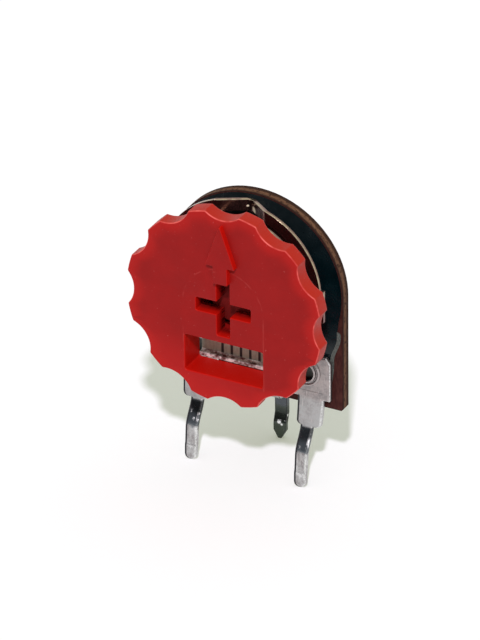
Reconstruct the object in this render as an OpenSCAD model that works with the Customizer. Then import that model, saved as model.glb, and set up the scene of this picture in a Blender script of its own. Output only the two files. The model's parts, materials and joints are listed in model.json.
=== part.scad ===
// Open-frame trimmer potentiometer with a fluted thumb knob, standing on three solder pins.
// Each piece is drawn lying flat: X runs across the board, Y up the board from the knob's axis,
// and Z out of the board's front face towards the knob. stand_up() then stands the piece on its pins.

/* [Board] */
// Radius of the board's rounded top, and half of its width
board_r = 8.03; // [7.9:0.01:9.5]
// Depth of the board below the knob's axis
board_drop = 10.35; // [9.9:0.05:11]
// Thickness of the board
board_t = 1; // [0.8:0.1:1.6]
// Chamfer on the board's two lower corners
board_chamfer = 0.15; // [0.1:0.05:0.6]

/* [Resistive track] */
// Thickness of the printed carbon and silver layers
print_t = 0.05; // [0.02:0.01:0.08]
// Inner radius of the carbon horseshoe
track_inner_r = 5.5; // [5:0.1:6]
// Bare margin outside the carbon, round the arch
track_margin = 0.12; // [0.05:0.01:0.25]
// Bare margin outside the carbon, beside its two legs
leg_margin = 0.5; // [0.4:0.05:0.6]
// Width of the silver line that borders each leg
silver_line = 0.3; // [0.15:0.05:0.35]

/* [Outer terminals] */
// Thickness of the terminals' tinned sheet
sheet_t = 0.45; // [0.35:0.05:0.5]
// Spacing of the outer pins from the middle of the part
pin_pitch = 5.08; // [5:0.01:5.3]
// Width of each solder pin
pin_w = 1.12; // [0.9:0.02:1.2]
// Height of the knob's axis above the pin tips
axis_height = 17.18; // [16.8:0.02:19]
// Distance of a terminal plate's outer edge from the board's side
plate_side_gap = 0.93; // [0.75:0.02:1.1]
// Width of a terminal's plate
plate_w = 3.9; // [3.8:0.05:4.2]
// Distance of the plate's top edge below the knob's axis
plate_top_drop = 5.48; // [5.3:0.02:5.6]
// Height of the terminal's plate
plate_h = 4.05; // [3.8:0.05:4.3]
// Width of the neck between the plate and the pin
neck_w = 2.4; // [2.2:0.05:2.5]
// Height of the neck
neck_h = 2.5; // [2.2:0.05:2.8]
// Distance by which the neck leans forward down to its lower edge
neck_lean = 0.35; // [0.1:0.05:0.4]
// Distance of the pins' row in front of the board's face
pin_row_z = 1.95; // [1.6:0.05:2.3]
// Height over which each outer pin comes forward
joggle_h = 2.1; // [1.8:0.1:2.4]
// Distance by which each outer pin leans forward from there to its tip
pin_lean = 0.25; // [0.05:0.05:0.3]
// Radius of the bends in every terminal, on the sheet's middle line
bend_r = 0.5; // [0.4:0.05:0.6]

/* [Eyelets] */
// Radius of each eyelet's open bore
eyelet_bore_r = 0.8; // [0.6:0.05:0.85]
// Radius of each eyelet's barrel
eyelet_barrel_r = 1; // [0.95:0.05:1.05]
// Radius of each eyelet's flanges
eyelet_flange_r = 1.35; // [1.2:0.05:1.4]
// Distance of the eyelets inwards from the plate's outer edge
eyelet_inset = 2.25; // [1.9:0.05:2.3]
// Distance of the eyelets below the plate's top edge
eyelet_below = 1.62; // [1.55:0.01:2]

/* [Wiper terminal] */
// Distance between the row of outer pins and the middle pin
row_spacing = 6.35; // [6:0.01:7]
// Width of the strap that runs down the board's back
strap_w = 3.2; // [2.4:0.1:4]
// Radius of the strap's eye round the pivot
strap_eye_r = 2.7; // [2.5:0.1:3.2]
// Distance of the strap's shelf below the board's bottom edge
shelf_drop = 1.05; // [0.9:0.05:1.3]
// Length of the middle pin's pointed end
pin_point_h = 0.75; // [0.5:0.05:1]
// Height of the middle pin's knee above its tip
knee_h = 2.3; // [2:0.1:3.5]

/* [Pivot rivet] */
// Radius of the rivet's neck, on which the wiper plate turns
pivot_neck_r = 1.1; // [0.9:0.05:1.2]
// Radius of the rivet's head
pivot_head_r = 1.9; // [1.7:0.05:2.1]
// Thickness of the rivet's head
pivot_head_t = 0.35; // [0.25:0.05:0.4]
// Radius of the shoulder between the board and the wiper plate
pivot_shoulder_r = 1.9; // [1.6:0.05:2]
// Radius of the rivet's tail in the board
pivot_tail_r = 1.3; // [1:0.05:1.4]
// Radius of the tail's clinched end
pivot_clinch_r = 2.1; // [1.8:0.05:2.3]

/* [Wiper plate] */
// Thickness of the wiper's spring sheet
wiper_t = 0.3; // [0.2:0.05:0.35]
// Height of the wiper plate's back above the board's face
wiper_z = 2.25; // [1.9:0.05:2.4]
// Height of the arcs' common centre above the knob's axis
arc_rise = 1.2; // [1:0.05:1.3]
// Outer radius of the spring bow
bow_outer_r = 7.25; // [7.2:0.05:7.35]
// Inner radius of the spring bow
bow_inner_r = 6.3; // [6.2:0.05:6.4]
// Radius of the inner disc
wiper_disc_r = 5.82; // [5.7:0.02:5.9]
// Distance by which each side ear stands out past the bow
ear_overhang = 0.3; // [0.25:0.05:0.5]
// Half the width of the contact's V where it leaves the bow
contact_half_w = 2.3; // [2:0.1:2.5]
// Distance above the knob's axis of the middle of the contact's tip
contact_r = 7.15; // [7:0.05:7.2]
// Length of the contact's tip along a radius
contact_len = 1.0; // [0.8:0.05:1.1]
// Outer radius of the raised centre
dome_r = 2.6; // [2.5:0.05:2.7]
// Height by which the centre is raised
dome_h = 1.15; // [1:0.05:1.2]
// Half the width of the tab behind the knob's window
tab_half_w = 3.6; // [3.3:0.05:3.7]
// Distance of the tab's lower edge below the knob's axis
tab_drop = 6.35; // [6.2:0.05:6.4]
// Length by which the tab's lip stands forward
lip_l = 0.5; // [0.35:0.05:0.55]

/* [Knob] */
// Radius of the knob over its lands
knob_r = 8.88; // [8.8:0.01:9.1]
// Thickness of the knob's disc
knob_t = 1.44; // [1.2:0.02:1.8]
// Number of flutes round the rim
flutes = 12; // [6:1:16]
// Radius of each flute's curve
flute_r = 2.42; // [1.5:0.02:2.6]
// Depth of each flute
flute_depth = 0.67; // [0.3:0.01:0.7]
// Chamfer along the edges of the knob's lands
knob_edge = 0.12; // [0.05:0.01:0.25]
// Radius of the boss behind the disc
boss_r = 3.65; // [3.5:0.05:3.9]
// Width of the cross slot
slot_w = 1.2; // [0.8:0.05:1.4]
// Reach of the cross slot's arms from the axis
slot_reach = 2.5; // [2:0.05:2.55]
// Width of the window
window_w = 7.13; // [6.5:0.01:7.2]
// Height of the window
window_h = 3.3; // [2.8:0.05:3.35]
// Distance of the window's top edge below the knob's axis
window_drop = 3.13; // [3.05:0.01:3.2]
// Thickness of the walls behind the disc that frame the window
frame_wall = 0.4; // [0.3:0.05:0.5]
// Height of the raised arrow above the disc's face
arrow_t = 0.5; // [0.3:0.05:0.6]
// Distance of the arrow's tip above the knob's axis
arrow_tip = 8.0; // [7.5:0.05:8.05]
// Distance of the arrow head's base above the knob's axis
arrow_base = 4.1; // [3.6:0.05:4.6]
// Half the width of the arrow's head
arrow_half_w = 1.37; // [1:0.01:1.6]
// Half the width of the arrow's shaft
shaft_half_w = 0.68; // [0.5:0.01:0.8]
// Radius of the two pegs that fix the knob to the wiper plate
peg_r = 0.5; // [0.4:0.05:0.6]
// Distance of each peg from the middle
peg_x = 4.75; // [4.65:0.05:4.9]

/* [Hidden] */
$fn = 64;

// Clearances
press_gap = 0.02;      // fixed pieces in their holes
running_gap = 0.05;    // the wiper plate on the rivet's neck, sideways
face_gap = 0.03;       // the wiper plate between the rivet's shoulder and its head
contact_gap = 0.03;    // under the contact's tip
turning_gap = 0.1;     // between turning and standing faces
over = 0.5;            // how far a cut runs past a face

// Bends
bend_steps = 6;
fold_r = 0.5;          // the contact's folds
press_r = 0.3;         // the raised centre's and the lip's bends
neck_corner = 0.35;    // the neck's lower corners
neck_taper = 0.15;     // how much the neck narrows on its outer side
neck_bend_h = 0.6;     // where the neck's lean begins, above the plate's lower edge
plate_corner_w = 0.4;  // the plate's outer top corner, across
plate_corner_h = 0.55; // the plate's outer top corner, down

// Where the pieces lap and how they are set off from each other
neck_reach = 1.45;     // from a pin's middle to its neck's outer edge
carbon_tuck = 0.15;    // the carbon's end inside the terminal plate's outer edge
carbon_lap = 0.3;      // the carbon's end under the terminal plate's top edge
pad_inset = 0.2;       // the silver pads inside the terminal plates
knee_back = 0.3;       // the middle pin's upper part behind its lower part
knee_slope_h = 0.9;      // height over which the middle pin comes forward again
contact_root = 0.6;    // the flat stretch of bow beside the contact's V
lap = 0.2;             // how far joined shapes run into each other
lip_gap = 0.05;        // between the tab's lip and the window's frame
peg_boss_wall = 0.35;  // the pegs' bosses round the pegs
peg_head_rim = 0.3;    // the pegs' flattened heads round the pegs

// Heights above the board's front face
plate_z = print_t;
plate_front_z = plate_z + sheet_t;
wiper_mid_z = wiper_z + wiper_t / 2;
wiper_front_z = wiper_z + wiper_t;
contact_mid_z = print_t + contact_gap + wiper_t / 2;
dome_mid_z = wiper_mid_z + dome_h;
dome_front_z = dome_mid_z + wiper_t / 2;
head_z = dome_front_z + face_gap;
head_front_z = head_z + pivot_head_t;
disc_z = head_front_z + turning_gap;
knob_front_z = disc_z + knob_t;
arrow_front_z = knob_front_z + arrow_t;

// Places below and beside the knob's axis
tip_y = -axis_height;
pin_round_y = tip_y + pin_w / 2;
plate_top_y = -plate_top_drop;
plate_low_y = plate_top_y - plate_h;
neck_low_y = plate_low_y - neck_h;
board_low_y = -board_drop;
shelf_y = board_low_y - shelf_drop;
strap_z = -board_t - sheet_t / 2;
middle_pin_z = pin_row_z - row_spacing;
shelf_end_z = middle_pin_z - knee_back;
knee_y = tip_y + knee_h;
joggle_low_y = neck_low_y - joggle_h;
pin_slope = pin_lean / (joggle_low_y - tip_y);
plate_outer_x = board_r - plate_side_gap;
plate_inner_x = plate_outer_x - plate_w;
eyelet_x = plate_outer_x - eyelet_inset;
eyelet_y = plate_top_y - eyelet_below;
neck_outer_x = pin_pitch + neck_reach;
neck_inner_x = neck_outer_x - neck_w;
ear_x = bow_outer_r + ear_overhang;
ear_top_y = 1.95;
ear_low_y = -0.9;
slot_end_y = 0.9;
leg_x = board_r - leg_margin;
arch_r = board_r - track_margin;
leg_bend_y = -3;
leg_taper_y = -4.2;
track_end_x = plate_outer_x - carbon_tuck;
track_end_y = plate_top_y - carbon_lap;
pad_inner_x = plate_inner_x + pad_inset;
pad_low_y = plate_low_y + pad_inset;
strip_half_w = contact_half_w + contact_root;
flute_angle = 360 / flutes;
window_low_y = -window_drop - window_h;
frame_z = wiper_front_z + lip_l + lip_gap;
peg_boss_r = peg_r + peg_boss_wall;
peg_head_r = peg_r + peg_head_rim;
peg_head_t = 0.28;
peg_y = 0.6;

// Middle of the part's depth, once it stands up
back_z = shelf_end_z - sheet_t / 2;
depth_mid_z = (arrow_front_z + back_z) / 2;

// ---- Placing ----

// Stands a flat-drawn piece on its pin tips, with the part's depth centred on the origin
module stand_up() {
    translate([0, depth_mid_z, axis_height]) rotate([90, 0, 0]) children();
}

// Slab of a flat outline between two heights
module slab(z0, z1) {
    translate([0, 0, z0]) linear_extrude(height = z1 - z0) children();
}

// Carries an outline drawn in Y and Z sideways along X
module sideways(width) {
    rotate([90, 0, 90]) linear_extrude(height = width, center = true) children();
}

// Carries an outline drawn in X and Z up and down along Y, between two places
module lengthways(y0, y1) {
    translate([0, y1, 0]) rotate([90, 0, 0]) linear_extrude(height = y1 - y0) children();
}

// Two copies, at plus and minus x
module pair(x, y) {
    for (side = [-1, 1]) translate([side * x, y]) children();
}

// ---- Folded sheet ----

function unit(v) = v / norm(v);
function left_of(v) = [-v[1], v[0]];
function heading(v) = atan2(v[1], v[0]);
function wrapped(a) = a > 180 ? a - 360 : a < -180 ? a + 360 : a;

// Stations round the corner b, each a point on the sheet's middle line with its left normal
function corner(a, b, c, r) =
    let (u = unit(b - a), turn = wrapped(heading(c - b) - heading(u)), side = sign(turn))
    let (start = b - u * r * tan(abs(turn) / 2), centre = start + left_of(u) * r * side)
    [for (k = [0:bend_steps])
        let (h = heading(u) + turn * k / bend_steps, n = [-sin(h), cos(h)])
        [centre - n * r * side, n]];

// Stations along a path of corner points, each corner rounded to radius r
function stations(path, r) =
    let (last = len(path) - 1)
    concat(
        [[path[0], left_of(unit(path[1] - path[0]))]],
        [for (i = [1:last - 1]) each corner(path[i - 1], path[i], path[i + 1], r)],
        [[path[last], left_of(unit(path[last] - path[last - 1]))]]);

// Section of a folded sheet of thickness t
module folded(path, r, t) {
    line = stations(path, r);
    polygon(concat(
        [for (s = line) s[0] + s[1] * t / 2],
        [for (i = [len(line) - 1:-1:0]) line[i][0] - line[i][1] * t / 2]));
}

// ---- Board and its print ----

module board_outline() {
    circle(r = board_r);
    polygon([[-board_r, 0], [-board_r, board_low_y + board_chamfer],
        [-board_r + board_chamfer, board_low_y], [board_r - board_chamfer, board_low_y],
        [board_r, board_low_y + board_chamfer], [board_r, 0]]);
}

module eyelet_holes() {
    pair(eyelet_x, eyelet_y) circle(r = eyelet_barrel_r + press_gap);
}

module base_board() {
    color([0.27, 0.12, 0.11]) stand_up() slab(-board_t, 0) difference() {
        board_outline();
        circle(r = pivot_tail_r + press_gap);
        eyelet_holes();
    }
}

// Arch and legs together, as one filled shape down to the pads
module track_reach() {
    circle(r = arch_r);
    polygon([[-arch_r, 0], [-leg_x, leg_bend_y], [-leg_x, leg_taper_y],
        [-track_end_x, track_end_y], [track_end_x, track_end_y], [leg_x, leg_taper_y],
        [leg_x, leg_bend_y], [arch_r, 0]]);
}

module track_outline() {
    difference() {
        track_reach();
        circle(r = track_inner_r);
        translate([-track_inner_r, -2 * board_r]) square([2 * track_inner_r, 2 * board_r]);
        translate([-board_r, track_end_y - board_r]) square([2 * board_r, board_r]);
    }
}

module resistive_track() {
    color([0.05, 0.09, 0.08]) stand_up() slab(0, print_t) track_outline();
}

// Silver pad under the right terminal, with the line that borders the carbon
module end_pad() {
    stand_up() slab(0, print_t) difference() {
        polygon([[pad_inner_x, pad_low_y], [track_end_x, pad_low_y],
            [track_end_x + silver_line, track_end_y], [leg_x + silver_line, leg_taper_y],
            [leg_x + silver_line, leg_bend_y], [leg_x, leg_bend_y], [leg_x, leg_taper_y],
            [track_end_x, track_end_y], [pad_inner_x, track_end_y]]);
        eyelet_holes();
    }
}

module end_pad_right() {
    color([0.62, 0.62, 0.6]) end_pad();
}

module end_pad_left() {
    color([0.62, 0.62, 0.6]) mirror([1, 0, 0]) end_pad();
}

// ---- Terminals and what fastens them ----

// Front outline of the right terminal: plate, neck and the straight of the pin
module terminal_outline() {
    neck_low_x = neck_outer_x - neck_taper;
    polygon([[plate_inner_x, plate_top_y], [plate_outer_x - plate_corner_w, plate_top_y],
        [plate_outer_x, plate_top_y - plate_corner_h], [plate_outer_x, plate_low_y],
        [neck_outer_x, plate_low_y], [neck_low_x, neck_low_y + neck_corner],
        [neck_low_x - neck_corner, neck_low_y], [pin_pitch + pin_w / 2, neck_low_y],
        [pin_pitch + pin_w / 2, pin_round_y], [pin_pitch - pin_w / 2, pin_round_y],
        [pin_pitch - pin_w / 2, neck_low_y], [neck_inner_x, neck_low_y + neck_corner],
        [neck_inner_x, plate_low_y], [plate_inner_x, plate_low_y]]);
}

// Side section of an outer terminal, with the joggle that brings the pin forward
module terminal_section() {
    mid_z = plate_z + sheet_t / 2;
    folded([[plate_top_y + over, mid_z], [plate_low_y + neck_bend_h, mid_z],
        [neck_low_y, mid_z + neck_lean],
        [joggle_low_y, pin_row_z - pin_lean], [tip_y - over, pin_row_z + pin_slope * over]],
        bend_r, sheet_t);
}

module terminal() {
    stand_up() difference() {
        intersection() {
            union() {
                slab(-over, pin_row_z + sheet_t) terminal_outline();
                slab(-over, pin_row_z + sheet_t)
                    translate([pin_pitch, pin_round_y]) circle(r = pin_w / 2);
            }
            sideways(4 * board_r) terminal_section();
        }
        slab(-over, plate_front_z + over) eyelet_holes();
    }
}

module terminal_right() {
    color([0.66, 0.64, 0.66]) terminal();
}

module terminal_left() {
    color([0.66, 0.64, 0.66]) mirror([1, 0, 0]) terminal();
}

// Hollow eyelet, turned about its own axis
module eyelet(side) {
    front = plate_front_z;
    back = -board_t;
    curl = 0.25;
    step = 0.12;
    step_r = (eyelet_barrel_r + eyelet_flange_r) / 2;
    stand_up() translate([side * eyelet_x, eyelet_y]) rotate_extrude() polygon([
        [eyelet_bore_r, back - curl + step], [eyelet_bore_r + step, back - curl],
        [step_r, back - curl], [eyelet_flange_r, back - step], [eyelet_flange_r, back],
        [eyelet_barrel_r, back], [eyelet_barrel_r, front], [eyelet_flange_r, front],
        [eyelet_flange_r, front + step], [step_r, front + step], [step_r - step, front + curl],
        [eyelet_bore_r + step, front + curl], [eyelet_bore_r, front + curl - step]]);
}

module eyelet_left() {
    color([0.7, 0.68, 0.68]) eyelet(-1);
}

module eyelet_right() {
    color([0.7, 0.68, 0.68]) eyelet(1);
}

// Front outline of the middle terminal below its eye: strap and pointed pin
module strap_outline() {
    point_w = 0.3;
    shoulder_y = shelf_y - sheet_t;
    polygon([[-strap_w / 2, 0], [strap_w / 2, 0], [strap_w / 2, shoulder_y],
        [pin_w / 2, shoulder_y], [pin_w / 2, tip_y + pin_point_h], [point_w / 2, tip_y],
        [-point_w / 2, tip_y], [-pin_w / 2, tip_y + pin_point_h], [-pin_w / 2, shoulder_y],
        [-strap_w / 2, shoulder_y]]);
}

// Side section of the middle terminal: down the board's back, back along a shelf, then down
module strap_section() {
    folded([[strap_eye_r + over, strap_z], [shelf_y, strap_z], [shelf_y, shelf_end_z],
        [knee_y, shelf_end_z], [knee_y - knee_slope_h, middle_pin_z], [tip_y - over, middle_pin_z]],
        bend_r, sheet_t);
}

module wiper_terminal() {
    color([0.62, 0.61, 0.63]) stand_up() difference() {
        intersection() {
            union() {
                slab(back_z - over, 0) strap_outline();
                slab(back_z - over, 0) circle(r = strap_eye_r);
            }
            sideways(3 * strap_eye_r) strap_section();
        }
        slab(strap_z - sheet_t, 0) circle(r = pivot_tail_r + press_gap);
    }
}

// ---- Pivot ----

module pivot_rivet() {
    back = -board_t - sheet_t;
    clinch_t = 0.3;
    edge = 0.12;
    color([0.55, 0.5, 0.46]) stand_up() rotate_extrude() polygon([
        [0, back - clinch_t], [pivot_clinch_r - edge, back - clinch_t],
        [pivot_clinch_r, back - clinch_t + edge], [pivot_clinch_r, back], [pivot_tail_r, back],
        [pivot_tail_r, 0], [pivot_shoulder_r, 0],
        [pivot_shoulder_r, dome_mid_z - wiper_t / 2 - face_gap],
        [pivot_neck_r, dome_mid_z - wiper_t / 2 - face_gap], [pivot_neck_r, head_z],
        [pivot_head_r, head_z], [pivot_head_r, head_front_z - edge],
        [pivot_head_r - edge, head_front_z], [0, head_front_z]]);
}

// ---- Wiper plate ----

// Half plane on and above a line y
module above(y) {
    translate([-2 * board_r, y]) square([4 * board_r, 2 * board_r]);
}

// Arc from ear to ear, dipping to the contact's tip at the middle
module bow_outline() {
    outer_y = arc_rise + sqrt(pow(bow_outer_r, 2) - pow(contact_half_w, 2));
    inner_y = arc_rise + sqrt(pow(bow_inner_r, 2) - pow(contact_half_w, 2));
    top_y = contact_r + contact_len / 2;
    difference() {
        intersection() {
            translate([0, arc_rise]) circle(r = bow_outer_r);
            above(slot_end_y - lap);
        }
        translate([0, arc_rise]) circle(r = bow_inner_r);
        translate([-contact_half_w, 0]) square([2 * contact_half_w, 2 * board_r]);
    }
    polygon([[-contact_half_w, inner_y], [0, top_y - contact_len], [contact_half_w, inner_y],
        [contact_half_w, outer_y], [0, top_y], [-contact_half_w, outer_y]]);
}

// Side ears, which join the bow to the disc
module ears() {
    for (side = [0, 1]) mirror([side, 0]) {
        polygon([[0, ear_low_y], [ear_x, ear_low_y], [ear_x, ear_top_y],
            [bow_outer_r - lap, ear_top_y], [bow_outer_r - lap, slot_end_y],
            [0, slot_end_y]]);
    }
}

// Flat parts of the plate, without the contact's V and the raised centre
module wiper_flat_outline() {
    lip_start_y = -tab_drop + press_r + wiper_t / 2;
    difference() {
        union() {
            translate([0, arc_rise]) circle(r = wiper_disc_r);
            translate([-tab_half_w, lip_start_y]) square([2 * tab_half_w, -lip_start_y]);
            ears();
            difference() {
                bow_outline();
                translate([lap - strip_half_w, 0])
                    square([2 * (strip_half_w - lap), 2 * board_r]);
            }
        }
        circle(r = dome_r + press_r);
        pair(peg_x, peg_y) circle(r = peg_r + press_gap);
    }
}

// The bow's middle, folded back into a V whose tip rides on the track
module contact() {
    intersection() {
        slab(0, wiper_front_z + over) intersection() {
            bow_outline();
            translate([-strip_half_w, 0]) square([2 * strip_half_w, 2 * board_r]);
        }
        lengthways(0, 2 * board_r) folded([[-strip_half_w, wiper_mid_z],
            [-contact_half_w, wiper_mid_z], [0, contact_mid_z], [contact_half_w, wiper_mid_z],
            [strip_half_w, wiper_mid_z]], fold_r, wiper_t);
    }
}

// Raised centre that turns on the rivet's neck
module dome() {
    wall_r = dome_r - wiper_t / 2;
    rotate_extrude() folded([[dome_r + press_r + lap, wiper_mid_z], [wall_r, wiper_mid_z],
        [wall_r, dome_mid_z], [pivot_neck_r + running_gap, dome_mid_z]], press_r, wiper_t);
}

// Lip along the tab's lower edge, bent towards the knob
module lip() {
    lip_mid_y = -tab_drop + wiper_t / 2;
    sideways(2 * tab_half_w) folded([[lip_mid_y + press_r + lap, wiper_mid_z],
        [lip_mid_y, wiper_mid_z], [lip_mid_y, wiper_front_z + lip_l]], press_r, wiper_t);
}

module wiper_plate() {
    color([0.72, 0.68, 0.58]) stand_up() {
        slab(wiper_z, wiper_front_z) wiper_flat_outline();
        contact();
        dome();
        lip();
    }
}

// ---- Knob ----

module knob_disc() {
    difference() {
        rotate_extrude() polygon([[0, disc_z], [knob_r - knob_edge, disc_z],
            [knob_r, disc_z + knob_edge], [knob_r, knob_front_z - knob_edge],
            [knob_r - knob_edge, knob_front_z], [0, knob_front_z]]);
        for (i = [0:flutes - 1])
            rotate(i * flute_angle) translate([knob_r - flute_depth + flute_r, 0, disc_z - over])
                cylinder(r = flute_r, h = knob_t + 2 * over);
    }
}

module arrow_outline() {
    polygon([[-shaft_half_w, slot_reach], [shaft_half_w, slot_reach],
        [shaft_half_w, arrow_base], [arrow_half_w, arrow_base], [0, arrow_tip],
        [-arrow_half_w, arrow_base], [-shaft_half_w, arrow_base]]);
}

module cross_outline() {
    square([2 * slot_reach, slot_w], center = true);
    square([slot_w, 2 * slot_reach], center = true);
}

module window_outline(margin) {
    translate([-window_w / 2 - margin, window_low_y - margin])
        square([window_w + 2 * margin, window_h + 2 * margin]);
}

module knob() {
    color([0.72, 0.1, 0.09]) stand_up() {
        difference() {
            union() {
                knob_disc();
                slab(wiper_front_z, disc_z + over) circle(r = boss_r);
                slab(frame_z, disc_z + over) window_outline(frame_wall);
                pair(peg_x, peg_y) slab(wiper_front_z, disc_z + over) circle(r = peg_boss_r);
            }
            slab(wiper_z, disc_z) circle(r = dome_r + turning_gap);
            slab(wiper_z, arrow_front_z + over) cross_outline();
            slab(wiper_z, arrow_front_z + over) window_outline(0);
        }
        slab(knob_front_z - over, arrow_front_z) arrow_outline();
        pair(peg_x, peg_y) slab(wiper_z - peg_head_t, disc_z) circle(r = peg_r);
        pair(peg_x, peg_y) slab(wiper_z - peg_head_t, wiper_z) circle(r = peg_head_r);
    }
}

base_board();
resistive_track();
end_pad_left();
end_pad_right();
terminal_left();
terminal_right();
eyelet_left();
eyelet_right();
wiper_terminal();
pivot_rivet();
wiper_plate();
knob();
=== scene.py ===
"""Looks of the trimmer potentiometer: surfaces, finishes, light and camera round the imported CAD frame."""

import json
import math

import bmesh
import bpy
import numpy as np
from mathutils import Matrix, Vector

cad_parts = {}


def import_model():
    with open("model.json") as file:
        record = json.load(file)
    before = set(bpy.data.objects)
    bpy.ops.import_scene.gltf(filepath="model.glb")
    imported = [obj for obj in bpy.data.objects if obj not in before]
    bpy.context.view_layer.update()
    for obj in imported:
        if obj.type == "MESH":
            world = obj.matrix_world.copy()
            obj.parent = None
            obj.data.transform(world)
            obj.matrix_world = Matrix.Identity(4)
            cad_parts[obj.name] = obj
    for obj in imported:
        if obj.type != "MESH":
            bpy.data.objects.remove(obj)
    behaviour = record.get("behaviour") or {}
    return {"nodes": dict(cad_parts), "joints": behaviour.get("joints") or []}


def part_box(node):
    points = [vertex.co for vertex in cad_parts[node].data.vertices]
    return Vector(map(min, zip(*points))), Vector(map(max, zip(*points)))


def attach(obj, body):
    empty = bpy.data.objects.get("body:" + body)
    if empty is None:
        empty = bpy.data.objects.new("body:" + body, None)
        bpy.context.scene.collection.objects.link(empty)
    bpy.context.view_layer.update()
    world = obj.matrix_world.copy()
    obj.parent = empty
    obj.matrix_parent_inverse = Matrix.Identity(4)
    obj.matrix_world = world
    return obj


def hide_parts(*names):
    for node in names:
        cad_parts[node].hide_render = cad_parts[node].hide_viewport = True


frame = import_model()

bl_info = {
    "name": "Trimmer Potentiometer",
    "version": (1, 0, 0),
    "blender": (4, 5, 0),
    "location": "3D View > Sidebar > Trimmer",
    "description": "Surfaces, finishes and studio for an open-frame trimmer potentiometer",
    "category": "Object",
}

MM = 0.001
AXIS = Vector(frame["joints"][0]["pos_m"])
BOARD_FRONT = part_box("base_board")[0].y


def height(y):
    """Height of a world depth above the board's front face, in millimetres."""
    return (BOARD_FRONT - y) / MM


def span(node):
    """Lowest and highest corner of a CAD node in the flat frame, in millimetres."""
    low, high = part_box(node)
    return (
        (low.x / MM, (low.z - AXIS.z) / MM, height(high.y)),
        (high.x / MM, (high.z - AXIS.z) / MM, height(low.y)),
    )


KNOB_LOW, KNOB_HIGH = span("knob")
BOARD_PRINT = span("resistive_track")[1][2]

# Where the finishes change on the metal, in millimetres below the knob's axis
TAB_TOP_DROP = 3.0
TAB_LOW_DROP = -span("wiper_plate")[0][1]
NECK_TOP_DROP = 9.6
NECK_LOW_DROP = 12.1
BEND_LOW_DROP = 14.1


# ---- Settings ----


def number(name, description, value, **more):
    """A number property."""
    return bpy.props.FloatProperty(name=name, description=description, default=value, **more)


def length(name, description, value):
    """A length property, given in millimetres."""
    return number(name, description, value * MM, unit="LENGTH", precision=5)


def turn(name, description, value):
    """An angle property, given in degrees."""
    return number(name, description, math.radians(value), subtype="ANGLE")


def colour(name, description, value):
    """A colour property, as linear red, green and blue."""
    return bpy.props.FloatVectorProperty(
        name=name, description=description, default=value, subtype="COLOR", min=0, max=1
    )


class KnobSettings(bpy.types.PropertyGroup):
    """Sizes and colours of the knob."""

    radius: length("Radius", "Radius over the lands", 8.88)
    flutes: bpy.props.IntProperty(name="Flutes", description="Number of flutes round the rim", default=12)
    flute_radius: length("Flute radius", "Radius of each flute's curve", 2.42)
    flute_depth: length("Flute depth", "Depth of each flute", 0.67)
    thickness: length("Thickness", "Thickness of the disc", 1.44)
    edge: length("Edge", "Radius of the rounded edges of the rim", 0.12)
    slot_width: length("Slot width", "Width of the cross slot", 1.2)
    slot_reach: length("Slot reach", "Reach of the cross slot's arms", 2.5)
    slot_edge: length("Slot edge", "Radius of the rounded edges of the slot", 0.1)
    slot_corner: length("Slot corner", "Radius of the corners at the ends of the slot's arms", 0.12)
    window_width: length("Window width", "Width of the window", 7.13)
    window_height: length("Window height", "Height of the window", 3.3)
    window_drop: length("Window drop", "Distance of the window's top below the axis", 3.13)
    window_corner: length("Window corner", "Radius of the window's corners", 0.18)
    window_edge: length("Window edge", "Radius of the rounded edges of the window", 0.12)
    split: length("Split", "Distance below the axis where the window's part of the face begins", 2.68)
    frame_wall: length("Frame wall", "Thickness of the walls that frame the window", 0.4)
    frame_height: length("Frame height", "Height of the walls behind the disc that frame the window", 1.13)
    boss_radius: length("Boss radius", "Radius of the boss behind the disc", 3.65)
    boss_bore: length("Boss bore", "Radius of the recess in the boss", 2.7)
    peg_head: length("Peg head", "Height of the pegs' heads behind the boss, with the wiper sheet", 0.58)
    arrow_height: length("Arrow height", "Height of the raised arrow", KNOB_HIGH[2] - height(AXIS.y))
    arrow_tip: length("Arrow tip", "Distance of the arrow's tip above the axis", 8.0)
    arrow_base: length("Arrow base", "Distance of the arrow head's base above the axis", 4.1)
    arrow_half: length("Arrow half width", "Half the width of the arrow's head", 1.37)
    shaft_half: length("Shaft half width", "Half the width of the arrow's shaft", 0.68)
    arrow_edge: length("Arrow edge", "Radius of the rounded edges of the arrow", 0.07)
    seam_radius: length("Seam radius", "Radius of the faint line that the mould leaves on the face", 3.66)
    glow_width: length("Glow width", "Width over which the face brightens towards the rim", 1.3)
    face: colour("Face", "Colour of the flat face", (0.302, 0.0072, 0.0062))
    # Painted light: a glow that brightens the face beside the rim
    glow: colour("Glow", "Colour of the face beside the rim", (0.46, 0.0105, 0.0075))
    # Painted highlight: the edge line round the face is a bright highlight painted into its colour
    line: colour("Line", "Colour of the worn edge line round the face", (0.75, 0.12, 0.1))
    rim: colour("Rim", "Colour of the rim", (0.425, 0.018, 0.007))
    wall: colour("Wall", "Colour of the walls inside the openings and beside the arrow", (0.48, 0.005, 0.002))
    fleck: colour("Fleck", "Colour of the small pale flecks", (0.75, 0.22, 0.2))


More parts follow.
